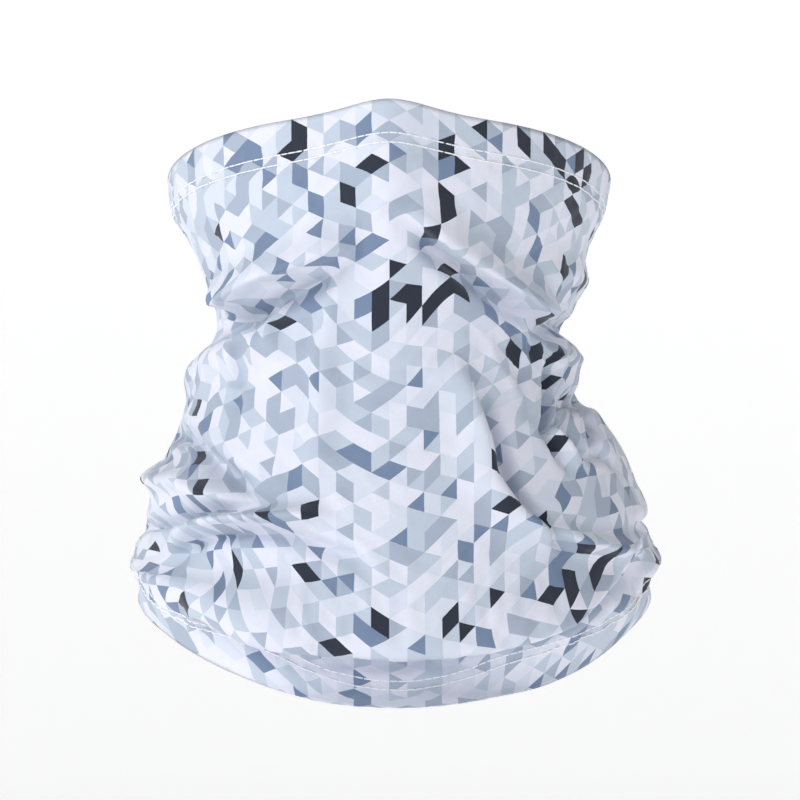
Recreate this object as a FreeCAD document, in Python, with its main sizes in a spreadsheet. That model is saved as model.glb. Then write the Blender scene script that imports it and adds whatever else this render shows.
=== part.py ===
import FreeCAD, Part
import os
import Sketcher
from FreeCAD import Placement, Rotation, Vector

# A knitted neck gaiter, worn: a tube that follows the face, the neck and the shoulders.
# The origin is the centre of the tube at its narrowest, where the neck sits. +Z is up, -Y is the front.
# Each layer of cloth or thread is a ruled loft of ring sections, one at each station of the tube.
# The stations' planes lean with the rims, so a hem keeps its depth all the way round.

os.makedirs("parts", exist_ok=True)
doc = FreeCAD.newDocument("NeckGaiter")

# Stations from top to bottom: height and backward shift of the centre in mm, lean about X in degrees,
# then the half width and half depth of the cloth's outer face in mm.
stations = {
    "topRim": (51, 4, -14.6, 82.5, 95),
    "topHem": (35, 3, -14.6, 77.5, 88),
    "jaw": (16, 2, -12, 69.5, 77),
    "neck": (0, 0, -9, 65, 73),
    "collar": (-24, 1, -1, 70, 76),
    "shoulder": (-50, 4, 11, 87, 89),
    "drape": (-74, 5, 15.5, 96.5, 100),
    "bottomHem": (-86, 5, 16, 98.5, 103),
    "bottomRim": (-104, 5, 16, 98.5, 103.5),
}
stationParts = ("Height", "Shift", "Lean", "HalfWidth", "HalfDepth")

drivingSizes = {
    "clothThickness": 0.8,
    "threadProud": 0.35,
    "threadWidth": 0.6,
    "needleGauge": 3.2,
    "rawEdgeMargin": 1.5,
    "seamWidth": 7,
    "seamGap": 0.1,
    "labelLength": 14,
    "labelHeight": 18,
    "labelThickness": 0.6,
    "labelRootX": 4.4,
    "labelRootY": 67.4,
    "labelFootZ": -21,
    "labelLean": 10,
}
for station, sizes in stations.items():
    for part, size in zip(stationParts, sizes):
        drivingSizes[station + part] = size

sheet = doc.addObject("Spreadsheet::Sheet", "Sizes")
for row, (alias, value) in enumerate(drivingSizes.items(), start=1):
    sheet.set(f"A{row}", alias)
    sheet.set(f"B{row}", str(value))
    sheet.setAlias(f"B{row}", alias)
doc.recompute()


def stationSizes(station):
    """A station's sizes, as expressions."""
    return {part: f"Sizes.{station}{part}" for part in stationParts}


def hemSizes(rim, distance):
    """The sizes of the section at a distance (an expression) from a rim, inside its hem."""
    share = f"({distance}) / (Sizes.{rim}RimHeight - Sizes.{rim}HemHeight)"
    if rim == "bottom":
        share = f"({distance}) / (Sizes.bottomHemHeight - Sizes.bottomRimHeight)"
    return {
        part: f"Sizes.{rim}Rim{part} + (Sizes.{rim}Hem{part} - Sizes.{rim}Rim{part}) * {share}"
        for part in stationParts
    }


def originPlane(body, role):
    for feature in body.Origin.OriginFeatures:
        if feature.Role == role:
            return feature
    raise RuntimeError(f"{body.Name} has no {role}")


def sectionSketch(body, name, sizes):
    """A sketch on the leaning plane of a section."""
    sketch = body.newObject("Sketcher::SketchObject", name)
    sketch.AttachmentSupport = (originPlane(body, "XY_Plane"), [""])
    sketch.MapMode = "FlatFace"
    place = f"vector(0; {sizes['Shift']}; {sizes['Height']})"
    turn = f"rotation(vector(1; 0; 0); {sizes['Lean']})"
    sketch.setExpression("AttachmentOffset", f"placement({place}; {turn})")
    return sketch


def nameAndBind(sketch, constraint, name, expression):
    sketch.renameConstraint(constraint, name)
    sketch.setExpression("Constraints." + name, expression)


def addEllipse(sketch, name, sizes, offset, drawn):
    """An ellipse round the origin, longer along Y, that lies offset outside the cloth's outer face."""
    halfWidth, halfDepth = drawn
    first = sketch.GeometryCount
    ellipse = Part.Ellipse(Vector(0, halfDepth, 0), Vector(-halfWidth, 0, 0), Vector(0, 0, 0))
    sketch.addGeometry(ellipse)
    sketch.exposeInternalGeometry(first)
    major, minor = first + 1, first + 2
    sketch.addConstraint(Sketcher.Constraint("Coincident", first, 3, -1, 1))
    sketch.addConstraint(Sketcher.Constraint("Vertical", major))
    depth = sketch.addConstraint(Sketcher.Constraint("Distance", major, 2 * halfDepth))
    width = sketch.addConstraint(Sketcher.Constraint("Distance", minor, 2 * halfWidth))
    nameAndBind(sketch, depth, name + "Depth", f"2 * ({sizes['HalfDepth']} + ({offset}))")
    nameAndBind(sketch, width, name + "Width", f"2 * ({sizes['HalfWidth']} + ({offset}))")


def loftThrough(body, sketches):
    loft = body.newObject("PartDesign::AdditiveLoft", body.Name + "_loft")
    loft.Profile = sketches[0]
    loft.Sections = sketches[1:]
    loft.Ruled = True
    body.Tip = loft


def tubeLayer(label, sections, outer, inner):
    """A ring-shaped layer between two offsets from the cloth's outer face."""
    body = doc.addObject("PartDesign::Body", label)
    body.Label = label
    sketches = []
    for number, sizes in enumerate(sections, start=1):
        sketch = sectionSketch(body, f"{label}_section{number}", sizes)
        addEllipse(sketch, "outer", sizes, outer, (90, 100))
        addEllipse(sketch, "inner", sizes, inner, (80, 90))
        sketches.append(sketch)
    loftThrough(body, sketches)
    return body


def seamLayer(label, sections, left, right, outer, inner):
    """A strip behind the neck, between two distances along X and two offsets from the outer face."""
    body = doc.addObject("PartDesign::Body", label)
    body.Label = label
    sketches = []
    for number, sizes in enumerate(sections, start=1):
        sketch = sectionSketch(body, f"{label}_section{number}", sizes)
        corners = [Vector(-5, 70, 0), Vector(5, 70, 0), Vector(5, 80, 0), Vector(-5, 80, 0)]
        for start, end in zip(corners, corners[1:] + corners[:1]):
            sketch.addGeometry(Part.LineSegment(start, end))
        for line in range(4):
            sketch.addConstraint(Sketcher.Constraint("Coincident", line, 2, (line + 1) % 4, 1))
            direction = "Horizontal" if line % 2 == 0 else "Vertical"
            sketch.addConstraint(Sketcher.Constraint(direction, line))
        measures = (
            ("leftX", "DistanceX", 0, 1, -5, left),
            ("rightX", "DistanceX", 1, 1, 5, right),
            ("innerY", "DistanceY", 0, 1, 70, f"{sizes['HalfDepth']} + ({inner})"),
            ("outerY", "DistanceY", 2, 1, 80, f"{sizes['HalfDepth']} + ({outer})"),
        )
        for name, kind, line, point, value, expression in measures:
            constraint = sketch.addConstraint(Sketcher.Constraint(kind, line, point, value))
            nameAndBind(sketch, constraint, name, expression)
        sketches.append(sketch)
    loftThrough(body, sketches)
    return body


def careLabel():
    """A blank ribbon folded double: an upright slot-shaped section that leans in from the wall."""
    body = doc.addObject("PartDesign::Body", "care_label")
    body.Label = "care_label"
    sketch = body.newObject("Sketcher::SketchObject", "ribbon_section")
    sketch.AttachmentSupport = (originPlane(body, "XY_Plane"), [""])
    sketch.MapMode = "FlatFace"
    radius = drivingSizes["labelThickness"] / 2
    far = drivingSizes["labelLength"] - 2 * radius
    root = sketch.addGeometry(
        Part.Arc(Vector(0, radius, 0), Vector(-radius, 0, 0), Vector(0, -radius, 0))
    )
    fold = sketch.addGeometry(
        Part.Arc(Vector(far, -radius, 0), Vector(far + radius, 0, 0), Vector(far, radius, 0))
    )
    lower = sketch.addGeometry(Part.LineSegment(Vector(0, -radius, 0), Vector(far, -radius, 0)))
    upper = sketch.addGeometry(Part.LineSegment(Vector(far, radius, 0), Vector(0, radius, 0)))
    joins = ((lower, 1, root, 2), (lower, 2, fold, 1), (upper, 1, fold, 2), (upper, 2, root, 1))
    for line, lineEnd, arc, arcEnd in joins:
        sketch.addConstraint(Sketcher.Constraint("Tangent", line, lineEnd, arc, arcEnd))
    sketch.addConstraint(Sketcher.Constraint("Coincident", root, 3, -1, 1))
    sketch.addConstraint(Sketcher.Constraint("PointOnObject", fold, 3, -1))
    radiusId = sketch.addConstraint(Sketcher.Constraint("Radius", root, radius))
    foldId = sketch.addConstraint(Sketcher.Constraint("DistanceX", root, 3, fold, 3, far))
    nameAndBind(sketch, radiusId, "halfThickness", "Sizes.labelThickness / 2")
    nameAndBind(sketch, foldId, "foldDistance", "Sizes.labelLength - Sizes.labelThickness")
    pad = body.newObject("PartDesign::Pad", "ribbon_height")
    pad.Profile = sketch
    pad.setExpression("Length", "Sizes.labelHeight")
    body.Placement = Placement(Vector(0, 0, 0), Rotation(Vector(0, 0, 1), -drivingSizes["labelLean"]))
    body.setExpression("Placement.Base.x", "Sizes.labelRootX")
    body.setExpression("Placement.Base.y", "Sizes.labelRootY")
    body.setExpression("Placement.Base.z", "Sizes.labelFootZ")
    return body


cloth = "Sizes.clothThickness"
proud = "Sizes.threadProud"
wholeTube = [stationSizes(station) for station in stations]
betweenHems = wholeTube[1:-1]

# The panel runs from rim to rim in one layer.
pieces = [tubeLayer("fabric_panel", wholeTube, "0", f"-{cloth}")]

# Each hem: the cloth turned in, two needle rows outside and the looper thread behind them inside.
for rim, rowNames in (("top", ("lower", "upper")), ("bottom", ("upper", "lower"))):
    hemDepth = f"abs(Sizes.{rim}RimHeight - Sizes.{rim}HemHeight)"
    farRow = f"{hemDepth} - Sizes.rawEdgeMargin"
    nearRow = f"{farRow} - Sizes.needleGauge"
    turnup = [hemSizes(rim, "0"), hemSizes(rim, hemDepth)]
    pieces.append(tubeLayer(f"{rim}_hem_turnup", turnup, f"-{cloth}", f"-2 * {cloth}"))
    for rowName, row in zip(rowNames, (farRow, nearRow)):
        edges = [hemSizes(rim, f"{row} - Sizes.threadWidth"), hemSizes(rim, row)]
        pieces.append(tubeLayer(f"{rim}_needle_thread_{rowName}", edges, proud, "0"))
    edges = [hemSizes(rim, f"{nearRow} - Sizes.threadWidth"), hemSizes(rim, farRow)]
    pieces.append(tubeLayer(f"{rim}_looper_thread", edges, f"-2 * {cloth}", f"-2 * {cloth} - {proud}"))

# The back seam runs between the two hems. Its two raw edges lie flat behind the neck line.
seamFace = f"-{cloth} - Sizes.seamGap"
seamBack = f"{seamFace} - 2 * {cloth}"
halfSeam = "Sizes.seamWidth / 2"
needleLeft = f"-{halfSeam} - Sizes.threadWidth"
seamPieces = {
    "back_seam_allowance": (f"-{halfSeam}", halfSeam, seamFace, seamBack),
    "seam_overlock_thread": (f"-{halfSeam}", halfSeam, seamBack, f"{seamBack} - {proud}"),
    "seam_needle_thread": (needleLeft, f"-{halfSeam}", seamFace, f"{seamFace} - {proud}"),
}
for label, (left, right, outer, inner) in seamPieces.items():
    pieces.append(seamLayer(label, betweenHems, left, right, outer, inner))

pieces.append(careLabel())

doc.recompute()

failed = [o.Name for o in doc.Objects if "Invalid" in o.State or "Error" in o.State]
if failed:
    raise RuntimeError(f"failed objects: {failed}")
for piece in pieces:
    shape = piece.Shape
    if shape.isNull() or not shape.isValid() or not shape.Solids:
        raise RuntimeError(f"{piece.Label} has no valid solid")
    shape.exportStep(f"parts/{piece.Label}.step")
    box = shape.optimalBoundingBox()
    print(
        f"{piece.Label}: {len(shape.Solids)} solid, {shape.Volume / 1000:.3f} cm3, "
        f"X {box.XMin:.1f}..{box.XMax:.1f} Y {box.YMin:.1f}..{box.YMax:.1f} Z {box.ZMin:.1f}..{box.ZMax:.1f}"
    )
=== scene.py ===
import bmesh
import bpy
import math
import numpy as np
from mathutils import Matrix, Vector


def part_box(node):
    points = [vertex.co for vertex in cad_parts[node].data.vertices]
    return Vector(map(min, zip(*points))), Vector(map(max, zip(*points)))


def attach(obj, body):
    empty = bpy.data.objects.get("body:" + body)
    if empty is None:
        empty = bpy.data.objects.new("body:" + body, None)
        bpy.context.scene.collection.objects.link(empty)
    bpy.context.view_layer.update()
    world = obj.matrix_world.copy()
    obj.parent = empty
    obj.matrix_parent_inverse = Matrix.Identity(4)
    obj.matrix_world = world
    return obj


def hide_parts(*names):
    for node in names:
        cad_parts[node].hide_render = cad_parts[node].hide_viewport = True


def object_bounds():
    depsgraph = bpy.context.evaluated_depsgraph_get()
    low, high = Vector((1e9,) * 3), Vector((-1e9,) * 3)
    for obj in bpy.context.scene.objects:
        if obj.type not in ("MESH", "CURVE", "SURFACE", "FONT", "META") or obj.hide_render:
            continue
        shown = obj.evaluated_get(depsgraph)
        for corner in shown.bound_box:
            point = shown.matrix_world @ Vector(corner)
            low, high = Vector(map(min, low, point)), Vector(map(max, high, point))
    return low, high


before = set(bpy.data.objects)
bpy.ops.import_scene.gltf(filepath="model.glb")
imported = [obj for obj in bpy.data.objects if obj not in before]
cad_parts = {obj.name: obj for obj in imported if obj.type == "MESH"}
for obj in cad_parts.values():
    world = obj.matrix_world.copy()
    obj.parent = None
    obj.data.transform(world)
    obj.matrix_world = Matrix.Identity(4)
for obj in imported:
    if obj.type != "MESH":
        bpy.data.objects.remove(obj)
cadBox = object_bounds()
mm = 0.001
bodyName = "gaiter"

# Sizes are in mm and angles in degrees, except in the studio, which is in metres.
# A place on the tube is an angle and a height: 0 degrees is the front (-Y) and +90 is +X.
# A place on the cloth is u round the tube from the front and v down from the upper rim.
# Left and right are as seen from the front.
tube = {
    "girth": 515,
    "length": 250,
    "topHem": 16,
    "bottomHem": 18,
    "clothThickness": 0.6,
    "layerGap": 1.35,
    "columns": 288,
    "rows": 141,
    "easedEvery": 2,
    "evenFront": 48,
    # shares of the length down the cloth, and the height they reach in front, at the sides and behind
    "frontHeight": [
        (0, 70.8), (0.07, 58), (0.25, 17), (0.45, -31), (0.65, -78), (0.82, -110), (0.92, -120),
        (1, -132.5),
    ],
    "sideHeight": [
        (0, 51), (0.07, 37), (0.25, 11), (0.45, -19), (0.65, -48), (0.82, -70), (0.92, -78),
        (1, -90),
    ],
    "backHeight": [
        (0, 27), (0.07, 14), (0.25, -3), (0.45, -19), (0.65, -36), (0.82, -52), (0.92, -61),
        (1, -75),
    ],
    # outline: how far the cloth stands from the middle, by height
    "rightWidth": [
        (-133, 85.5), (-115, 91), (-101, 97), (-91, 94.5), (-84, 95), (-70, 96), (-58, 91),
        (-45, 85.5), (-35, 79), (-25, 72.5), (-12, 66.5), (0, 67.5), (15, 69), (30, 74), (40, 79),
        (50, 81.5), (80, 82),
    ],
    "leftWidth": [
        (-133, 84), (-115, 90), (-102, 94.5), (-90, 89.5), (-75, 91.5), (-60, 86), (-45, 81.5),
        (-28, 74.5), (-12, 68), (0, 64), (13, 67.5), (30, 74), (40, 80.5), (52, 82.5), (80, 83),
    ],
    "frontDepth": [
        (-133, 98), (-131.6, 93), (-130.3, 88.5), (-128, 85.5), (-124, 84), (-120, 84), (-116, 86),
        (-111, 89), (-100, 92.5), (-80, 90), (-50, 84), (-22, 80), (11, 80), (32, 83), (57, 88),
        (80, 92),
    ],
    "backDepth": [
        (-75, 103), (-58, 101), (-47, 97), (-33, 87), (-25, 79), (-11, 74), (0, 78), (13, 86),
        (27, 93), (45, 94),
    ],
    # how much lower the bottom rim hangs, by angle
    "rimSag": [
        (-180, 0), (-120, 0), (-90, 3), (-65, 5.5), (-30, 3), (0, 0.5), (22, 3), (40, 8),
        (58, 10.5), (78, 9), (100, 3), (130, 0), (180, 0),
    ],
    "foldDepth": 2.3,
    "foldReach": 0.88,
    "threadStiffness": 14,
    # over the nose the rim peaks and the cloth stands out
    "nosePeak": 4.5,
    "noseWidth": 13,
    "noseOut": 5,
    "noseOutWidth": 9,
}

# A fold has a line of (angle, height) points, a rise out of the cloth or into it, a reach above and
# below the line, and a droop where it hangs over.
folds = [
    # left cheek
    {
        "line": [(-72, 7), (-62, 10), (-51, 13), (-38, 18), (-25, 22), (-14, 27), (-6, 34)],
        "rise": 4.4, "above": 8, "below": 4.5, "droop": 1.5,
    },
    {
        "line": [(-76, 0), (-60, 0), (-48, 3), (-34, 8), (-22, 13), (-12, 19)],
        "rise": -3.6, "above": 3, "below": 4.5, "droop": 0,
    },
    {
        "line": [(-110, -22), (-90, -19), (-64, -12), (-46, -7), (-32, -7), (-22, -9)],
        "rise": 2.5, "above": 7, "below": 9, "droop": 1,
    },
    # left shoulder rolls
    {
        "line": [(-95, -38), (-65, -42), (-50, -50), (-37, -58), (-26, -62)],
        "rise": -3.2, "above": 4, "below": 3, "droop": 0,
    },
    {
        "line": [(-110, -54), (-90, -57), (-57, -57), (-40, -63), (-27, -65)],
        "rise": 3.4, "above": 5.5, "below": 6, "droop": 1.5,
    },
    {
        "line": [(-100, -76), (-78, -74), (-60, -71), (-43, -66), (-32, -64), (-22, -62)],
        "rise": -3, "above": 3.2, "below": 2.6, "droop": 0,
    },
    {
        "line": [(-60, -78), (-47, -71), (-32, -68), (-20, -67), (-11, -70)],
        "rise": 3, "above": 3, "below": 4, "droop": 1.5,
    },
    {
        "line": [(-62, -86), (-53, -81), (-43, -75), (-32, -73), (-19, -75), (-8, -81), (-1, -90)],
        "rise": -2.4, "above": 2.2, "below": 4.5, "droop": 0,
    },
    {
        "line": [
            (-115, -84), (-90, -88), (-71, -91), (-49, -95), (-32, -99), (-18, -103), (-6, -106),
        ],
        "rise": 3.4, "above": 10, "below": 8, "droop": 1.5,
    },
    # the smooth middle's edges
    {
        "line": [(-17, 10), (-21, -11), (-18, -31), (-19, -49), (-20, -60)],
        "rise": 1.6, "above": 5, "below": 8, "droop": 0,
    },
    {
        "line": [(20, -10), (22, -23), (23, -38), (23, -54), (27, -66), (33, -74), (38, -83)],
        "rise": 2.4, "above": 3.5, "below": 9, "droop": 0,
    },
    {
        "line": [(25, -20), (27, -42), (28, -56), (31, -66), (37, -76), (45, -83)],
        "rise": -3.2, "above": 3.4, "below": 2.6, "droop": 0,
    },
    # right cheek
    {
        "line": [(2, 40), (9, 34), (18, 26), (29, 18), (40, 11), (52, 5), (64, 0)],
        "rise": 3.8, "above": 8, "below": 3, "droop": 2,
    },
    {
        "line": [(5, 31), (13, 24), (26, 14), (41, 5), (57, -2)],
        "rise": -3, "above": 2.6, "below": 5, "droop": 0,
    },
    {
        "line": [(120, 12), (90, 17), (56, 19), (42, 21)],
        "rise": 1.7, "above": 7, "below": 8, "droop": 1,
    },
    {
        "line": [(110, -4), (69, -1), (57, -3), (47, 0)],
        "rise": -3.4, "above": 4.5, "below": 3.5, "droop": 0,
    },
    {
        "line": [(115, -14), (90, -12), (61, -11), (47, -10)],
        "rise": 2.4, "above": 6, "below": 7, "droop": 1.5,
    },
    {
        "line": [(110, -25), (85, -26), (59, -27), (50, -28)],
        "rise": -3, "above": 4, "below": 4, "droop": 0,
    },
    # right neck, narrow upright folds
    {
        "line": [(55, -5), (57, -15), (50, -28), (43, -39), (44, -47), (47, -56)],
        "rise": -2.6, "above": 2.4, "below": 2.2, "droop": 0,
    },
    {
        "line": [(64, -6), (68, -15), (58, -26), (48, -37), (52, -46), (64, -49)],
        "rise": -2.6, "above": 2.2, "below": 2.4, "droop": 0,
    },
    {
        "line": [(60, -8), (63, -18), (54, -29), (46, -39), (48, -47), (54, -55)],
        "rise": 1.6, "above": 2, "below": 2, "droop": 0,
    },
    {
        "line": [(78, -8), (80, -20), (68, -32), (60, -44), (70, -54)],
        "rise": -2.2, "above": 2.6, "below": 2.6, "droop": 0,
    },
    # right shoulder
    {
        "line": [(28, -62), (34, -72), (44, -77), (58, -79), (75, -76)],
        "rise": 3, "above": 3, "below": 4.5, "droop": 1,
    },
    {
        "line": [(105, -70), (90, -72), (72, -75), (58, -81), (54, -90)],
        "rise": -1.5, "above": 3.2, "below": 3.2, "droop": 0,
    },
    {
        "line": [(120, -82), (95, -84), (78, -87), (66, -96)],
        "rise": 2.5, "above": 5, "below": 7, "droop": 1,
    },
    # the rolled lower edge and the tuck under it
    {
        "line": [
            (-50, -99), (-38, -103), (-27, -106.5), (-18, -108.5), (-8, -110), (2, -111),
            (12, -110.5), (21, -109), (30, -106), (38, -102.5), (45, -97.5), (52, -92), (58, -87),
            (66, -83), (75, -80),
        ],
        "rise": 2.8, "above": 10, "below": 3.6, "droop": 3,
    },
    {
        "line": [
            (-50, -107), (-36, -111), (-26, -114), (-14, -117), (-2, -118), (10, -118),
            (21, -116.5), (31, -112.5), (40, -107), (49, -99.5), (57, -92), (66, -87), (76, -84),
        ],
        "rise": -2.5, "above": 2.8, "below": 4.2, "droop": 0,
    },
]

# Upright pleats where the tube is squeezed in at the neck, and the bunched cloth behind.
pleats = {
    "seed": 11,
    "sideCount": 26,
    "sideAngles": (28, 165),
    "sideHeights": (-52, 16),
    "sideRise": 1.0,
    "sideReach": 2.8,
    "backRolls": [14, 3, -9, -22, -35, -48, -60],
    "backRise": 3.0,
    "backReach": 6.5,
    "backUnder": 3.4,
    "backDroop": 1.2,
}

# The cloth simulation. Spread and neckSpread are how much the cloth grows, at the rims and at the neck.
relax = {"scale": 10, "frames": 22, "spread": -0.015, "neckSpread": -0.12, "hold": 0.3}


# The height at 'at' of a smooth curve through (place, height) points.
def smoothCurve(points, at):
    places, heights = np.array(sorted(points), float).T
    slopes = np.gradient(heights, places)
    at = np.clip(at, places[0], places[-1])
    i = np.clip(np.searchsorted(places, at) - 1, 0, len(places) - 2)
    gap = places[i + 1] - places[i]
    t = (at - places[i]) / gap
    start = (1 + 2 * t) * (1 - t) ** 2 * heights[i] + t * (1 - t) ** 2 * gap * slopes[i]
    end = t**2 * (3 - 2 * t) * heights[i + 1] - t**2 * (1 - t) * gap * slopes[i + 1]
    return start + end


def smoothStep(low, high, at):
    t = np.clip((at - low) / (high - low), 0, 1)
    return t * t * (3 - 2 * t)


# Height of the cloth at an angle, a share of the way down it.
def wornHeight(angle, share):
    front, side, back = (
        smoothCurve(tube[name], share) for name in ("frontHeight", "sideHeight", "backHeight")
    )
    turn = np.cos(angle)
    nose = tube["nosePeak"] * np.exp(-((np.degrees(angle) / tube["noseWidth"]) ** 2))
    lean = (front - back) / 2 * turn + ((front + back) / 2 - side) * turn**2
    sag = smoothCurve(tube["rimSag"], np.degrees(angle)) * smoothStep(0.6, 1, share)
    return side + lean + nose * np.clip(1 - share / 0.35, 0, 1) ** 2 - sag


# Where the unfolded tube lies, in mm.
def wornPlace(angle, height):
    left, right = smoothCurve(tube["leftWidth"], height), smoothCurve(tube["rightWidth"], height)
    front, back = smoothCurve(tube["frontDepth"], height), smoothCurve(tube["backDepth"], height)
    toRight = smoothStep(-0.3, 0.3, np.sin(angle))
    toBack = smoothStep(-0.3, 0.3, -np.cos(angle))
    width = left + (right - left) * toRight
    depth = front + (back - front) * toBack
    nose = np.exp(-((np.degrees(angle) / tube["noseOutWidth"]) ** 2)) * smoothStep(-20, 60, height)
    x = width * np.sin(angle)
    y = -depth * np.cos(angle) - nose * tube["noseOut"]
    return np.stack([x, y, height + 0 * x], axis=-1)


# Outward directions of a closed grid of places, rows going down and columns round.
def surfaceNormals(places):
    along = np.roll(places, -1, axis=1) - np.roll(places, 1, axis=1)
    down = np.gradient(places, axis=0)
    normals = np.cross(down, along)
    return normals / np.maximum(np.linalg.norm(normals, axis=-1, keepdims=True), 1e-9)


# How much of a fold stands at each place: 1 on its line, fading above and below it.
def foldLift(angle, height, fold):
    perRadian = 80  # mm round the tube
    line = np.array(fold["line"], float)
    middle = math.radians(line[:, 0].mean())
    nearAngle = middle + (angle - middle + math.pi) % (2 * math.pi) - math.pi
    place = np.stack([nearAngle * perRadian, height], axis=-1)
    knots = np.stack([np.radians(line[:, 0]) * perRadian, line[:, 1]], axis=-1)
    if knots[-1, 0] < knots[0, 0]:
        knots = knots[::-1]
    best = np.full(angle.shape, 1e9)
    over, along = np.zeros(angle.shape), np.zeros(angle.shape)
    lengths = np.linalg.norm(np.diff(knots, axis=0), axis=1)
    for start, end, length, before in zip(knots[:-1], knots[1:], lengths, np.cumsum(lengths) - lengths):
        way = end - start
        t = np.clip(((place - start) @ way) / (way @ way), 0, 1)
        off = place - (start + t[..., None] * way)
        distance = np.hypot(off[..., 0], off[..., 1])
        nearer = distance < best
        best = np.where(nearer, distance, best)
        over = np.where(nearer, way[0] * off[..., 1] - way[1] * off[..., 0], over)
        along = np.where(nearer, (before + t * length) / lengths.sum(), along)
    reach = np.where(over > 0, fold["above"], fold["below"]) * tube["foldReach"]
    return np.exp(-((best / reach) ** 2)) * smoothStep(0, 0.22, along) * smoothStep(0, 0.22, 1 - along)


# Seeded upright pleats at the neck and bunched rolls behind it.
def smallFolds():
    draw = np.random.default_rng(pleats["seed"])
    found = []
    for number in range(pleats["sideCount"]):
        side = 1 if number % 2 else -1
        angle = side * draw.uniform(*pleats["sideAngles"])
        low, high = pleats["sideHeights"]
        top = draw.uniform(low + 34, high) - 0.12 * max(abs(angle) - 60, 0)
        drift = draw.uniform(-7, 7, 4)
        line = [(angle + drift[k], top - k * draw.uniform(7, 11)) for k in range(4)]
        rise = pleats["sideRise"] * draw.choice([-1, 1]) * draw.uniform(0.5, 1.2)
        reach = pleats["sideReach"] * draw.uniform(0.8, 1.3)
        found.append({"line": line, "rise": rise, "above": reach, "below": reach, "droop": 0})
    for number, level in enumerate(pleats["backRolls"]):
        start, end = 112 + draw.uniform(-12, 14), 250 + draw.uniform(-14, 12)
        angles = np.linspace(start, end, 7)
        waver = np.cumsum(draw.uniform(-3, 3, 7))
        rimFall = 12 * np.cos(np.radians(angles - 180)) ** 2 - 12
        line = [(a, level + w - f) for a, w, f in zip(angles, waver - waver.mean(), rimFall)]
        rise = pleats["backRise"] * draw.uniform(0.7, 1.1)
        above, below, droop = pleats["backReach"], pleats["backUnder"], pleats["backDroop"]
        found.append({"line": line, "rise": rise, "above": above, "below": below, "droop": droop})
    return found


# Distance along each line of places, the lines going down the first axis.
def runAlong(places):
    steps = np.linalg.norm(np.diff(places, axis=0), axis=-1)
    return np.concatenate([np.zeros((1, places.shape[1])), np.cumsum(steps, axis=0)])


# Places at wanted distances along each line.
def pickAlong(places, run, wanted):
    picked = np.empty((len(wanted), places.shape[1], 3))
    for line in range(places.shape[1]):
        for axis in range(3):
            picked[:, line, axis] = np.interp(wanted[:, line], run[:, line], places[:, line, axis])
    return picked


# Values averaged with those beside them round the tube; the last column repeats the first.
def evenAcross(values, reach):
    ring = values[:, :-1]
    offsets = np.arange(-2 * reach, 2 * reach + 1)
    weights = np.exp(-((offsets / reach) ** 2))
    even = sum(w * np.roll(ring, offset, axis=1) for w, offset in zip(weights, offsets)) / weights.sum()
    return np.concatenate([even, even[:, :1]], axis=1)


# The cloth lying in its folds, as an even grid: rows down it and columns round it from the back.
def foldedPlaces(columns, rows):
    angleSteps, shareSteps = 540, 300
    angles = np.linspace(-math.pi, math.pi, angleSteps + 1)
    angle, share = np.meshgrid(angles, np.linspace(0, 1, shareSteps + 1))
    height = wornHeight(angle, share)
    places = wornPlace(angle, height)
    normals = surfaceNormals(places[:, :-1])
    normals = np.concatenate([normals, normals[:, :1]], axis=1)
    # folds fade out at the stitched hems, which stay nearly flat
    free = smoothStep(0.03, 0.12, share) * smoothStep(0, 0.07, 1 - share)
    out, drop, tuck = np.zeros(angle.shape), np.zeros(angle.shape), np.zeros(angle.shape)
    for fold in folds + smallFolds():
        lift = foldLift(angle, height, fold) * free
        out += fold["rise"] * tube["foldDepth"] * lift
        drop += fold["droop"] * lift
        tuck += max(-fold["rise"], 0) * lift
    places = places + normals * out[..., None]
    places[..., 2] -= drop
    # even steps down the cloth, but the length that is left over is tucked into the creases
    run = runAlong(places)
    steps = np.diff(run, axis=0)
    tucked = (tuck[1:] + tuck[:-1] + 0.2 * (free[1:] + free[:-1])) * steps
    spare = np.maximum(tube["length"] - run[-1], 0) / np.maximum(tucked.sum(axis=0), 1e-6)
    run[1:] = np.cumsum(steps + spare * tucked, axis=0)
    run = evenAcross(run / run[-1], tube["threadStiffness"])
    places = pickAlong(places, run, np.linspace(0, 1, rows)[:, None] * run[-1])
    # even steps round it in front, squeezed or eased towards the back
    half, even = tube["girth"] / 2, tube["evenFront"]
    u = (np.arange(columns) / columns - 0.5) * tube["girth"]
    x = np.clip((np.abs(u) - even) / (half - even), 0, 1)[:, None]
    places = places.transpose(1, 0, 2)
    run = runAlong(places)
    front = run[angleSteps // 2]
    wanted = np.zeros((columns, rows))
    for sign in (-1, 1):
        side = (u >= 0) if sign > 0 else (u < 0)
        length = run[-1] - front if sign > 0 else front
        squeeze = (half - even) / (length - even)
        along = even + (length - even) * (squeeze * x + (1 - squeeze) * x**2)
        along = np.where(np.abs(u)[:, None] < even, np.abs(u)[:, None], along)
        wanted[side] = (front + sign * along)[side]
    return pickAlong(places, run, wanted).transpose(1, 0, 2)


# A flat grid of cloth, columns round and rows down: its bmesh, and its points by row and column.
def clothGrid(columns, rows):
    bm = bmesh.new()
    cell = bm.verts.layers.int.new("cell")
    bmesh.ops.create_grid(bm, x_segments=columns, y_segments=rows - 1, size=0.5)
    order = {}
    for point in bm.verts:
        column = round((point.co.x + 0.5) * columns)
        row = round((0.5 - point.co.y) * (rows - 1))
        order[row, column] = point
        point[cell] = row * columns + column % columns
    return bm, order


def placeGrid(bm, order, places, columns, rows):
    for (row, column), point in order.items():
        point.co = Vector(places[row, column % columns])
    bmesh.ops.remove_doubles(bm, verts=bm.verts[:], dist=1e-7)


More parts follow.
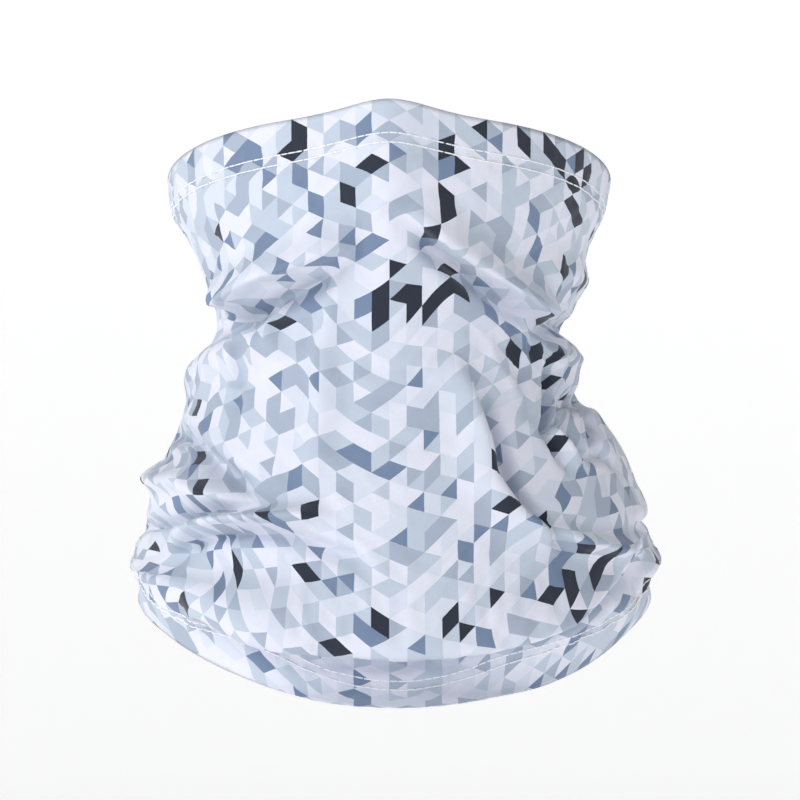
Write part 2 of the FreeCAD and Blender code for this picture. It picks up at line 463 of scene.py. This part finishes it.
# Lets the folded cloth ease and buckle in a short simulation, held softly to its folds.
def relaxedPlaces(start, columns, rows):
    big = relax["scale"] * mm
    bm, order = clothGrid(columns, rows)
    placeGrid(bm, order, start * big, columns, rows)
    mesh = bpy.data.meshes.new("relaxing")
    bm.to_mesh(mesh)
    bm.free()
    cells = [divmod(item.value, columns) for item in mesh.attributes["cell"].data]
    ob = bpy.data.objects.new("relaxing", mesh)
    bpy.context.scene.collection.objects.link(ob)
    hold = ob.vertex_groups.new(name="hold")
    ease = ob.vertex_groups.new(name="ease")
    # it grows at the neck, but not in front
    neck = np.exp(-(((start[..., 2] + 18) / 34) ** 2))
    sides = smoothStep(40, 95, np.abs(np.arange(columns) / columns - 0.5) * tube["girth"])
    for index, (row, column) in enumerate(cells):
        rim = min(row, rows - 1 - row)
        hold.add([index], 1.0 if rim < 1 else max(0.85 - 0.14 * rim, relax["hold"]), "REPLACE")
        ease.add([index], float(neck[row, column] * sides[column]), "REPLACE")
    cloth = ob.modifiers.new("ease", "CLOTH")
    cloth.settings.quality = 6
    cloth.settings.mass = 0.2
    cloth.settings.tension_stiffness = 12
    cloth.settings.compression_stiffness = 12
    cloth.settings.shear_stiffness = 6
    cloth.settings.bending_stiffness = 0.25
    cloth.settings.air_damping = 3
    cloth.settings.vertex_group_mass = "hold"
    cloth.settings.pin_stiffness = 2.5
    cloth.settings.vertex_group_shrink = "ease"
    cloth.settings.shrink_min = relax["spread"]
    cloth.settings.shrink_max = relax["neckSpread"]
    cloth.settings.effector_weights.gravity = 0.15
    cloth.collision_settings.use_self_collision = False
    scene = bpy.context.scene
    cloth.point_cache.frame_start = 1
    cloth.point_cache.frame_end = relax["frames"]
    for frameNumber in range(1, relax["frames"] + 1):
        scene.frame_set(frameNumber)
    eased = ob.evaluated_get(bpy.context.evaluated_depsgraph_get())
    places = np.zeros_like(start)
    for index, (row, column) in enumerate(cells):
        places[row, column] = eased.data.vertices[index].co[:]
    scene.frame_set(1)
    bpy.data.objects.remove(ob)
    bpy.data.meshes.remove(mesh)
    return places / big


# A grid with more rows and columns on smooth curves through the given one.
def finerPlaces(places, times):
    def between(values, at, closed):
        count = len(values)
        i = np.floor(at).astype(int)
        t = (at - i)[:, None, None]
        near = [k % count if closed else np.clip(k, 0, count - 1) for k in (i - 1, i, i + 1, i + 2)]
        a, b, c, d = (values[k] for k in near)
        bend = (2 * a - 5 * b + 4 * c - d) * t**2 + (3 * b - a - 3 * c + d) * t**3
        return 0.5 * (2 * b + (c - a) * t + bend)

    rows, columns = places.shape[:2]
    places = between(places, np.arange((rows - 1) * times + 1) / times, False)
    places = between(places.transpose(1, 0, 2), np.arange(columns * times) / times, True)
    return places.transpose(1, 0, 2)


# The worn cloth as a fine grid, which the threads and the seam are laid on.
class Cloth:
    def __init__(self, places):
        self.rows, self.columns = places.shape[:2]
        self.places = places
        self.normals = surfaceNormals(places)

    # Places at u and v on the cloth, lift mm outside its outer face.
    def at(self, u, v, lift):
        column = (np.asarray(u, float) / tube["girth"] + 0.5) * self.columns
        row = np.clip(np.asarray(v, float) / tube["length"] * (self.rows - 1), 0, self.rows - 1.001)
        i, j = np.floor(row).astype(int), np.floor(column).astype(int)
        s, t = (row - i)[..., None], (column - j)[..., None]
        j, nextColumn = j % self.columns, (j + 1) % self.columns

        def blend(grid):
            upper = grid[i, j] * (1 - t) + grid[i, nextColumn] * t
            lower = grid[i + 1, j] * (1 - t) + grid[i + 1, nextColumn] * t
            return upper * (1 - s) + lower * s

        return blend(self.places) + blend(self.normals) * np.asarray(lift, float)[..., None]


# Puts a piece on its body, in place of its CAD nodes.
def finish(ob, body, slot, *nodes):
    if ob.name not in bpy.context.scene.collection.objects:
        bpy.context.scene.collection.objects.link(ob)
    for polygon in ob.data.polygons:
        polygon.use_smooth = True
    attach(ob, body)
    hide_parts(*nodes)
    print("made", ob.name)
    return ob


# A linear colour from 0-255 values.
def paint(red, green, blue):
    parts = [value / 255 for value in (red, green, blue)]
    return (*(((part + 0.055) / 1.055) ** 2.4 for part in parts), 1.0)


knitPrint = {
    "edge": 7.2,
    "shades": [
        (0.0, (38, 44, 58)),
        (0.022, (112, 130, 158)),
        (0.085, (162, 173, 191)),
        (0.26, (184, 195, 210)),
        (0.5, (206, 212, 226)),
        (0.72, (217, 219, 232)),
    ],
    "loneShare": 0.22,
    # the nearly black cells of the front: u and v in mm
    "darkCells": [
        # upper rim and left cheek
        *[(-36, 7), (-36, 11), (-63, 14), (-7, 20), (-16, 30), (-77, 32), (-43, 88), (-97, 120)],
        # beside the nose
        *[(36, 4), (20, 12), (27, 18), (25, 21), (23, 31), (22, 36), (16, 45)],
        # right edge
        *[
            (55, 4), (64, 5), (73, 9), (84, 4), (89, 8), (82, 16), (80, 21), (88, 24), (84, 45),
            (109, 46),
        ],
        # the cluster under the nose
        *[(2, 62), (25, 69), (21, 76), (30, 77), (9, 78), (14, 80), (5, 72), (-4, 77), (-4, 70)],
        # right neck and shoulder
        *[
            (70, 75), (55, 98), (66, 97), (80, 96), (80, 109), (88, 141), (39, 143), (43, 159),
            (66, 168), (77, 186),
        ],
        # lower right
        *[
            (89, 195), (70, 193), (82, 199), (72, 201), (61, 198), (70, 208), (100, 230),
            (21, 191), (30, 198), (39, 191),
        ],
        # lower left
        *[
            (-97, 154), (-85, 160), (-45, 157), (-27, 150), (-66, 195), (-32, 180), (-5, 189),
            (-18, 200), (-80, 226),
        ],
    ],
    "darkReach": 3.5,
    "planned": 112,
    "seed": 4.0,
}


# Short ways to add nodes to a material.
class Nodes:
    def __init__(self, name):
        self.material = bpy.data.materials.new(name)
        self.material.use_nodes = True
        self.tree = self.material.node_tree
        self.shader = self.tree.nodes["Principled BSDF"]

    def add(self, kind, inputs=None, **settings):
        node = self.tree.nodes.new("ShaderNode" + kind)
        for name, value in settings.items():
            setattr(node, name, value)
        for name, value in (inputs or {}).items():
            self.feed(value, node.inputs[name])
        return node

    def feed(self, value, socket):
        if isinstance(value, bpy.types.NodeSocket):
            self.tree.links.new(value, socket)
        else:
            socket.default_value = value

    def math(self, operation, first, second=0.0, third=0.0):
        node = self.add("Math", {0: first, 1: second, 2: third}, operation=operation)
        return node.outputs[0]

    def shaded(self, colour, tone):
        mixed = self.add("Mix", {0: 1.0, 6: colour, 7: tone}, data_type="RGBA", blend_type="MULTIPLY")
        return mixed.outputs[2]

    def surface(self, **values):
        for name, value in values.items():
            self.feed(value, self.shader.inputs[name.replace("_", " ")])


# The print: a lattice of equilateral triangles with upright edges, in flat shades. Neighbours
# often share a shade, as lozenges and bars.
def printedCells(nodes):
    edge = knitPrint["edge"] * mm
    cloth = nodes.add("UVMap", uv_map="cloth")
    scaled = nodes.add("Mapping", {"Vector": cloth.outputs[0], "Scale": (1 / edge, 1 / edge, 1)})
    split = nodes.add("SeparateXYZ", {0: scaled.outputs[0]})
    across = nodes.math("DIVIDE", split.outputs[0], math.sqrt(0.75))
    down = nodes.math("SUBTRACT", split.outputs[1], nodes.math("MULTIPLY", across, 0.5))
    column, row = nodes.math("FLOOR", across), nodes.math("FLOOR", down)
    restAcross, restDown = nodes.math("FRACT", across), nodes.math("FRACT", down)
    upper = nodes.math("GREATER_THAN", nodes.math("ADD", restAcross, restDown), 1.0)

    def draw(first, second, third, seed):
        cell = nodes.add("CombineXYZ", {0: first, 1: second, 2: third})
        noise = nodes.add("TexWhiteNoise", {"Vector": cell.outputs[0], "W": seed}, noise_dimensions="4D")
        return noise.outputs["Value"]

    seed = knitPrint["seed"]
    lone = draw(column, row, upper, seed)
    slanted = draw(column, row, 5.0, seed + 1)
    # the other two lozenges that a triangle can belong to
    beside = draw(nodes.math("ADD", column, upper), row, 7.0, seed + 2)
    stacked = draw(column, nodes.math("ADD", row, upper), 9.0, seed + 3)

    def mixed(share, first, second):
        return nodes.add("Mix", {0: share, 2: first, 3: second}).outputs[0]

    # three lozenges make a cube seen from a corner, and cubes fill the cloth
    turn = nodes.math("FLOORED_MODULO", nodes.math("SUBTRACT", column, row), 3.0)
    pick = mixed(nodes.math("COMPARE", turn, upper, 0.1), beside, stacked)
    pick = mixed(nodes.math("COMPARE", turn, 2.0, 0.1), pick, slanted)
    isLone = nodes.math("LESS_THAN", draw(column, row, upper, seed + 5), knitPrint["loneShare"])
    pick = mixed(isLone, pick, lone)

    third = nodes.math("MULTIPLY_ADD", upper, 1 / 3, 1 / 3)
    # the middle of the triangle, in metres on the cloth
    middleAcross = nodes.math("ADD", column, third)
    middleDown = nodes.math("MULTIPLY_ADD", middleAcross, 0.5, nodes.math("ADD", row, third))
    middleU = nodes.math("MULTIPLY", middleAcross, math.sqrt(0.75) * edge)
    middleV = nodes.math("MULTIPLY", middleDown, edge)
    middle = nodes.add("CombineXYZ", {0: middleU, 1: middleV}).outputs[0]
    # within the planned front the dark cells are only the listed ones
    planned = nodes.math("LESS_THAN", nodes.math("ABSOLUTE", middleU), knitPrint["planned"] * mm)
    lightest = knitPrint["shades"][1][0] + 0.002
    pick = nodes.math("MAXIMUM", pick, nodes.math("MULTIPLY", planned, lightest))
    light = 1.0
    for u, v in knitPrint["darkCells"]:
        spot = nodes.add("VectorMath", {0: middle, 1: (u * mm, -v * mm, 0)}, operation="DISTANCE")
        outside = nodes.math("GREATER_THAN", spot.outputs["Value"], knitPrint["darkReach"] * mm)
        light = nodes.math("MINIMUM", light, outside)
    pick = nodes.math("MULTIPLY", pick, light)
    ramp = nodes.add("ValToRGB", {0: pick})
    ramp.color_ramp.interpolation = "CONSTANT"
    elements = ramp.color_ramp.elements
    for number, (start, shade) in enumerate(knitPrint["shades"]):
        element = elements[number] if number < 2 else elements.new(start)
        element.position = start
        element.color = paint(*shade)
    return ramp.outputs[0], scaled.outputs[0]


# Brushed polyester knit. showThrough is how much of the print shows on this side.
def knitSurface(name, showThrough):
    nodes = Nodes(name)
    colour, place = printedCells(nodes)
    if showThrough < 1:
        pale = nodes.add("Mix", {0: showThrough, 6: paint(232, 233, 240), 7: colour}, data_type="RGBA")
        colour = pale.outputs[2]
    mottle = nodes.add("TexNoise", {"Vector": place, "Scale": 1.7, "Detail": 6.0, "Roughness": 0.7})
    tone = nodes.add("MapRange", {0: mottle.outputs[0], 3: 0.95, 4: 1.045})
    soft = nodes.shaded(colour, tone.outputs[0])
    # wales and courses of the knit, finer than a millimetre
    wavy = {"Vector": place, "Distortion": 0.6, "Detail": 1.0}
    wales = nodes.add("TexWave", {**wavy, "Scale": 3.1}, bands_direction="X")
    courses = nodes.add("TexWave", {**wavy, "Scale": 3.7}, bands_direction="Y")
    loops = nodes.math("MULTIPLY", wales.outputs[1], courses.outputs[1])
    fuzz = nodes.add("TexNoise", {"Vector": place, "Scale": 9.0, "Detail": 3.0})
    relief = nodes.math("ADD", nodes.math("MULTIPLY", loops, 0.6), fuzz.outputs[0])
    bump = nodes.add("Bump", {"Strength": 0.35, "Distance": 0.00012, "Height": relief})
    nodes.surface(Base_Color=soft, Roughness=0.82, Normal=bump.outputs[0])
    nodes.surface(Sheen_Weight=0.25, Sheen_Roughness=0.5, Specular_IOR_Level=0.25)
    return nodes.material


def threadSurface(name, shade):
    nodes = Nodes(name)
    place = nodes.add("TexCoord").outputs["Object"]
    wavy = {"Vector": place, "Scale": 900.0, "Distortion": 2.0}
    twist = nodes.add("TexWave", wavy, bands_direction="DIAGONAL")
    # painted shade and highlight: the thread is darker in the low bands of its twist and lighter on the
    # high ones, following the bump
    tone = nodes.add("MapRange", {0: twist.outputs[1], 3: 0.86, 4: 1.05})
    bump = nodes.add("Bump", {"Strength": 0.4, "Distance": 0.00008, "Height": twist.outputs[1]})
    colour = nodes.shaded(paint(*shade), tone.outputs[0])
    nodes.surface(Base_Color=colour, Roughness=0.55, Normal=bump.outputs[0])
    nodes.surface(Sheen_Weight=0.15, Specular_IOR_Level=0.35)
    return nodes.material


worn = foldedPlaces(tube["columns"], tube["rows"])
print("folds laid on the tube")
every = tube["easedEvery"]
coarse = worn[::every, ::every]
eased = relaxedPlaces(coarse, coarse.shape[1], coarse.shape[0])
worn = worn + finerPlaces(eased - coarse, every)
print("cloth eased")
cloth = Cloth(worn)


# The whole cloth: the panel and both turned-in hems in one sheet, closed at the back seam.
def wornCloth(cloth):
    step = tube["length"] / (cloth.rows - 1)
    topRows, bottomRows = round(tube["topHem"] / step), round(tube["bottomHem"] / step)
    across = (np.arange(cloth.columns) / cloth.columns - 0.5) * tube["girth"]
    lines = []
    for row in range(-topRows, cloth.rows + bottomRows):
        inside = max(-row, row - (cloth.rows - 1), 0)
        v = row * step
        mirrored = -v if row < 0 else (2 * tube["length"] - v if inside else v)
        # the turn at the rim is a small round
        lift = -tube["layerGap"] * min(inside / 1.5, 1) ** 0.5 if inside else 0.0
        pucker = 0.3 * np.sin(across * 0.93 + 1.7 * np.sin(across * 0.11))
        pucker = pucker + 0.15 * np.sin(across * 1.71 + 2)
        seamDip = -0.7 * np.exp(-(((np.abs(across) - tube["girth"] / 2) / 1.8) ** 2))
        fromRim = min(mirrored, tube["length"] - mirrored)
        onHem = math.exp(-(((fromRim - 13.5) / 3.2) ** 2))
        lift = lift + (pucker - 0.45) * onHem + seamDip
        lines.append(cloth.at(across, np.full_like(across, mirrored), lift))
    places = np.array(lines) * mm
    count = len(lines)
    bm, order = clothGrid(cloth.columns, count)
    uv = bm.loops.layers.uv.new("cloth")
    cell = {point: key for key, point in order.items()}
    for face in bm.faces:
        for loop in face.loops:
            row, column = cell[loop.vert]
            u = (column / cloth.columns - 0.5) * tube["girth"]
            loop[uv].uv = (u * mm, -(row - topRows) * step * mm)
    placeGrid(bm, order, places, cloth.columns, count)
    bm.faces.ensure_lookup_table()
    middle = bm.faces[len(bm.faces) // 2]
    middle.normal_update()
    towards = middle.calc_center_median() * Vector((1, 1, 0))
    if middle.normal.dot(towards) < 0:
        bmesh.ops.reverse_faces(bm, faces=bm.faces[:])
    mesh = bpy.data.meshes.new("gaiterCloth")
    bm.to_mesh(mesh)
    bm.free()
    ob = bpy.data.objects.new("gaiterCloth", mesh)
    mesh.materials.append(knitSurface("printedKnit", 1.0))
    mesh.materials.append(knitSurface("knitWrongSide", 0.16))
    thick = ob.modifiers.new("clothThickness", "SOLIDIFY")
    thick.thickness = tube["clothThickness"] * mm
    thick.offset = -1
    thick.material_offset = 1
    thick.material_offset_rim = 1
    return finish(ob, bodyName, "printed_knit", "fabric_panel", "top_hem_turnup", "bottom_hem_turnup")


gaiterCloth = wornCloth(cloth)

stitches = {
    "pitch": 3.0,
    "gauge": 3.2,
    "threadRadius": 0.26,
    "looperRadius": 0.17,
    "rawEdge": 1.5,
    "sunk": 0.38,
    "looperGap": 0.42,
    # one needle stitch: the share of its pitch, and how far out
    "outside": [(0.0, -0.35), (0.12, 0.1), (0.3, 0.26), (0.7, 0.26), (0.88, 0.1)],
}


# A thread of round section along a path, as a mesh.
def threadPiece(name, path, radius, closed, material):
    curve = bpy.data.curves.new(name, "CURVE")
    curve.dimensions = "3D"
    curve.bevel_depth = radius * mm
    curve.bevel_resolution = 1
    spline = curve.splines.new("POLY")
    spline.points.add(len(path) - 1)
    flat = np.ones((len(path), 4))
    flat[:, :3] = path * mm
    spline.points.foreach_set("co", flat.ravel())
    spline.use_cyclic_u = closed
    guide = bpy.data.objects.new(name + "Guide", curve)
    bpy.context.scene.collection.objects.link(guide)
    view = bpy.context.evaluated_depsgraph_get()
    mesh = bpy.data.meshes.new_from_object(guide.evaluated_get(view))
    bpy.data.objects.remove(guide)
    bpy.data.curves.remove(curve)
    mesh.name = name
    mesh.materials.clear()
    mesh.materials.append(material)
    return bpy.data.objects.new(name, mesh)


# A needle thread round the tube, which lies on the face and dives at the ends of each stitch.
def needleRow(cloth, v):
    count = round(tube["girth"] / stitches["pitch"])
    shares = np.array([share for share, lift in stitches["outside"]])
    lifts = np.array([lift for share, lift in stitches["outside"]])
    u = ((np.arange(count)[:, None] + shares) / count - 0.5).ravel() * tube["girth"]
    lift = np.tile(lifts, count) - stitches["sunk"]
    return cloth.at(u, np.full_like(u, v), lift)


# The looper thread inside a hem: it crosses from row to row and loops at each needle hole.
def looperRow(cloth, nearRim, farRim):
    count = round(tube["girth"] / stitches["pitch"])
    shares = np.array([0, 0.08, 0.42, 0.5, 0.58, 0.92])
    sides = np.array([0, 0.02, 0.98, 1, 0.98, 0.02])
    u = ((np.arange(count)[:, None] + shares) / count - 0.5).ravel() * tube["girth"]
    v = nearRim + (farRim - nearRim) * np.tile(sides, count)
    inner = -tube["layerGap"] - stitches["looperGap"] - stitches["looperRadius"]
    return cloth.at(u, v, np.full_like(u, inner))


whiteThread = threadSurface("whiteThread", (246, 246, 250))
paleThread = threadSurface("looperThread", (224, 226, 234))
for rim, hemDepth, rowNames in (
    ("top", tube["topHem"], ("lower", "upper")),
    ("bottom", tube["bottomHem"], ("upper", "lower")),
):
    far = hemDepth - stitches["rawEdge"]
    near = far - stitches["gauge"]
    levels = [far, near] if rim == "top" else [tube["length"] - far, tube["length"] - near]
    for rowName, level in zip(rowNames, levels):
        path = needleRow(cloth, level)
        name = f"{rim}NeedleThread{rowName.capitalize()}"
        thread = threadPiece(name, path, stitches["threadRadius"], True, whiteThread)
        finish(thread, bodyName, "stitch_thread", f"{rim}_needle_thread_{rowName}")
    path = looperRow(cloth, levels[1], levels[0])
    looper = threadPiece(f"{rim}LooperThread", path, stitches["looperRadius"], True, paleThread)
    finish(looper, bodyName, "stitch_thread", f"{rim}_looper_thread")

seam = {"width": 7, "thickness": 1.3, "lift": -1.55, "stitch": 2.2, "threadRadius": 0.16}
seamTop, seamFoot = tube["topHem"] + 0.5, tube["length"] - tube["bottomHem"] - 0.5
backLine = tube["girth"] / 2


# The two raw edges of the back seam, laid flat inside.
def seamAllowance(cloth):
    across, down = 8, 110
    bm = bmesh.new()
    bmesh.ops.create_grid(bm, x_segments=across, y_segments=down, size=0.5)
    uv = bm.loops.layers.uv.new("cloth")
    for face in bm.faces:
        for loop in face.loops:
            spot = loop.vert.co
            v = seamTop + (0.5 - spot.y) * (seamFoot - seamTop)
            loop[uv].uv = ((backLine + spot.x * seam["width"] + 40) * mm, -v * mm)
    for point in bm.verts:
        v = seamTop + (0.5 - point.co.y) * (seamFoot - seamTop)
        edge = 0.35 * abs(2 * point.co.x) ** 6  # the raw edges curl up a little
        place = cloth.at(backLine + point.co.x * seam["width"], v, seam["lift"] + edge)
        point.co = Vector(place * mm)
    mesh = bpy.data.meshes.new("backSeamAllowance")
    bm.to_mesh(mesh)
    bm.free()
    mesh.materials.append(knitSurface("seamKnit", 0.3))
    ob = bpy.data.objects.new("backSeamAllowance", mesh)
    thick = ob.modifiers.new("seamThickness", "SOLIDIFY")
    thick.thickness = seam["thickness"] * mm
    thick.offset = 0
    return finish(ob, bodyName, "printed_knit", "back_seam_allowance")


# The overlock threads: loops across the allowance that wrap both of its edges.
def overlockPath(cloth):
    count = round((seamFoot - seamTop) / seam["stitch"])
    half = seam["width"] / 2
    inner = seam["lift"] - seam["thickness"] / 2 - 0.12
    # along the seam, across it, and how far out, for one stitch
    loop = [
        (0.0, -half * 0.72, inner),
        (0.3, half * 0.9, inner),
        (0.42, half + 0.18, seam["lift"]),
        (0.6, half * 0.9, inner),
        (0.9, -half * 0.72, inner),
    ]
    share, u, lift = np.array(loop).T
    v = seamTop + (np.arange(count)[:, None] + share).ravel() / count * (seamFoot - seamTop)
    return cloth.at(backLine + np.tile(u, count), v, np.tile(lift, count))


# The needle thread beside the overlock loops.
def seamNeedlePath(cloth):
    count = round((seamFoot - seamTop) / seam["stitch"])
    share = np.array([0.0, 0.2, 0.5, 0.8])
    v = seamTop + (np.arange(count)[:, None] + share).ravel() / count * (seamFoot - seamTop)
    inner = seam["lift"] - seam["thickness"] / 2
    lift = np.tile(inner + np.array([0.25, -0.12, -0.2, -0.12]), count)
    return cloth.at(np.full_like(v, backLine - 0.36 * seam["width"]), v, lift)


seamAllowance(cloth)
for name, node, path, material in (
    ("seamOverlockThread", "seam_overlock_thread", overlockPath(cloth), paleThread),
    ("seamNeedleThread", "seam_needle_thread", seamNeedlePath(cloth), whiteThread),
):
    thread = threadPiece(name, path, seam["threadRadius"], False, material)
    finish(thread, bodyName, "stitch_thread", node)

ribbon = {"length": 14, "height": 18, "steps": 9, "thickness": 0.28, "foldRadius": 0.3, "curl": 0.7}


def ribbonSurface():
    nodes = Nodes("labelRibbon")
    place = nodes.add("TexCoord").outputs["Object"]
    wavy = {"Vector": place, "Scale": 700.0, "Distortion": 0.4}
    weave = nodes.add("TexWave", wavy, bands_direction="Z")
    # painted shade: the ribbon is darker in the low bands of the weave, where the bump sinks between the
    # yarns
    tone = nodes.add("MapRange", {0: weave.outputs[1], 3: 0.93, 4: 1.0})
    colour = nodes.shaded(paint(238, 238, 236), tone.outputs[0])
    bump = nodes.add("Bump", {"Strength": 0.3, "Distance": 0.00005, "Height": weave.outputs[1]})
    nodes.surface(Base_Color=colour, Roughness=0.42, Normal=bump.outputs[0], Sheen_Weight=0.2)
    return nodes.material


# A blank ribbon, folded double and caught at its root.
def careLabel():
    low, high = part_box("care_label")
    inset = ribbon["foldRadius"] * mm
    root = Vector((low[0] + inset, high[1] - inset, low[2]))
    bm = bmesh.new()
    radius = ribbon["foldRadius"]
    far = ribbon["length"] - 2 * radius
    outline = [(x, radius) for x in np.linspace(0, far, 9)]
    turn = np.radians(np.linspace(75, -75, 5))
    outline += [(far + radius * math.cos(a), radius * math.sin(a)) for a in turn]
    outline += [(x, -radius) for x in np.linspace(far, 0, 9)]
    line = []
    for x, y in outline:
        bend = ribbon["curl"] * math.sin(math.pi * x / ribbon["length"] * 0.9)
        line.append(bm.verts.new(Vector((x, y + bend, 0)) * mm))
    edges = [bm.edges.new(pair) for pair in zip(line, line[1:])]
    for level in range(ribbon["steps"]):
        made = bmesh.ops.extrude_edge_only(bm, edges=edges)["geom"]
        points = [item for item in made if isinstance(item, bmesh.types.BMVert)]
        made = [item for item in made if isinstance(item, bmesh.types.BMEdge)]
        edges = [edge for edge in made if all(point in points for point in edge.verts)]
        bmesh.ops.translate(bm, verts=points, vec=(0, 0, ribbon["height"] / ribbon["steps"] * mm))
    lean = Matrix.Translation(root) @ Matrix.Rotation(math.radians(-10), 4, "Z")
    bmesh.ops.transform(bm, matrix=lean, verts=bm.verts[:])
    bmesh.ops.solidify(bm, geom=bm.faces[:], thickness=ribbon["thickness"] * mm)
    mesh = bpy.data.meshes.new("careLabel")
    bm.to_mesh(mesh)
    bm.free()
    mesh.materials.append(ribbonSurface())
    return finish(bpy.data.objects.new("careLabel", mesh), "label", "label_ribbon", "care_label")


label = careLabel()

studio = {
    "floorDrop": 0.30,
    "flatRadius": 2.4,
    "bendRadius": 1.4,
    "wallHeight": 1.75,
    "glow": 0.55,
    "cameraDistance": 1.2,
    "cameraPlace": (0.0037, -0.028),
    "lens": 145,
    "sky": 0.2,
    # name, place, width, power and colour
    "lights": [
        ("keyLight", (-1.2, -0.8, 0.9), 0.9, 13.8, (0.97, 0.985, 1)),
        ("fillLight", (1.3, -0.9, 0.1), 1.2, 2.7, (1, 0.99, 0.97)),
        ("bounceLight", (-0.4, -0.9, -0.27), 0.8, 1.8, (0.97, 0.985, 1)),
    ],
}


# A round pale floor that bends up into a low wall all round.
def backdrop():
    floorHeight = cadBox[0][2] - studio["floorDrop"]
    flat, radius = studio["flatRadius"], studio["bendRadius"]
    line = [(0, 0)]
    for step in range(13):
        bend = math.pi / 2 * step / 12
        line.append((flat + radius * math.sin(bend), radius * (1 - math.cos(bend))))
    line.append((flat + radius, studio["wallHeight"]))
    bm = bmesh.new()
    points = [bm.verts.new((x, 0, floorHeight + z)) for x, z in line]
    edges = [bm.edges.new(pair) for pair in zip(points, points[1:])]
    turned = points + edges
    bmesh.ops.spin(bm, geom=turned, axis=(0, 0, 1), angle=2 * math.pi, steps=96, use_merge=True)
    bmesh.ops.remove_doubles(bm, verts=bm.verts[:], dist=1e-5)
    bmesh.ops.recalc_face_normals(bm, faces=bm.faces[:])
    mesh = bpy.data.meshes.new("floor")
    bm.to_mesh(mesh)
    bm.free()
    nodes = Nodes("paleFloor")
    nodes.surface(Base_Color=(0.8, 0.8, 0.805, 1), Roughness=0.9, Specular_IOR_Level=0.1)
    nodes.surface(Emission_Color=(1, 1, 1, 1), Emission_Strength=studio["glow"])
    mesh.materials.append(nodes.material)
    for polygon in mesh.polygons:
        polygon.use_smooth = True
    ob = bpy.data.objects.new("floor", mesh)
    bpy.context.scene.collection.objects.link(ob)
    return ob


def softLight(name, place, size, power, colour):
    lamp = bpy.data.lights.new(name, "AREA")
    lamp.shape = "DISK"
    lamp.size = size
    lamp.energy = power
    lamp.color = colour
    ob = bpy.data.objects.new(name, lamp)
    ob.location = place
    ob.rotation_euler = (-Vector(place)).to_track_quat("-Z", "Y").to_euler()
    bpy.context.scene.collection.objects.link(ob)


def studioCamera():
    camera = bpy.data.cameras.new("camera")
    camera.lens = studio["lens"]
    camera.sensor_width = 36
    ob = bpy.data.objects.new("camera", camera)
    x, z = studio["cameraPlace"]
    ob.location = (x, -studio["cameraDistance"], z)
    ob.rotation_euler = (math.pi / 2, 0, 0)
    bpy.context.scene.collection.objects.link(ob)
    bpy.context.scene.camera = ob


world = bpy.data.worlds.new("paleRoom")
world.use_nodes = True
world.node_tree.nodes["Background"].inputs[0].default_value = (1, 1, 1, 1)
world.node_tree.nodes["Background"].inputs[1].default_value = studio["sky"]
bpy.context.scene.world = world
bpy.context.scene.view_settings.view_transform = "Standard"
backdrop()
for light in studio["lights"]:
    softLight(*light)
studioCamera()
print("floor, lights and camera set")
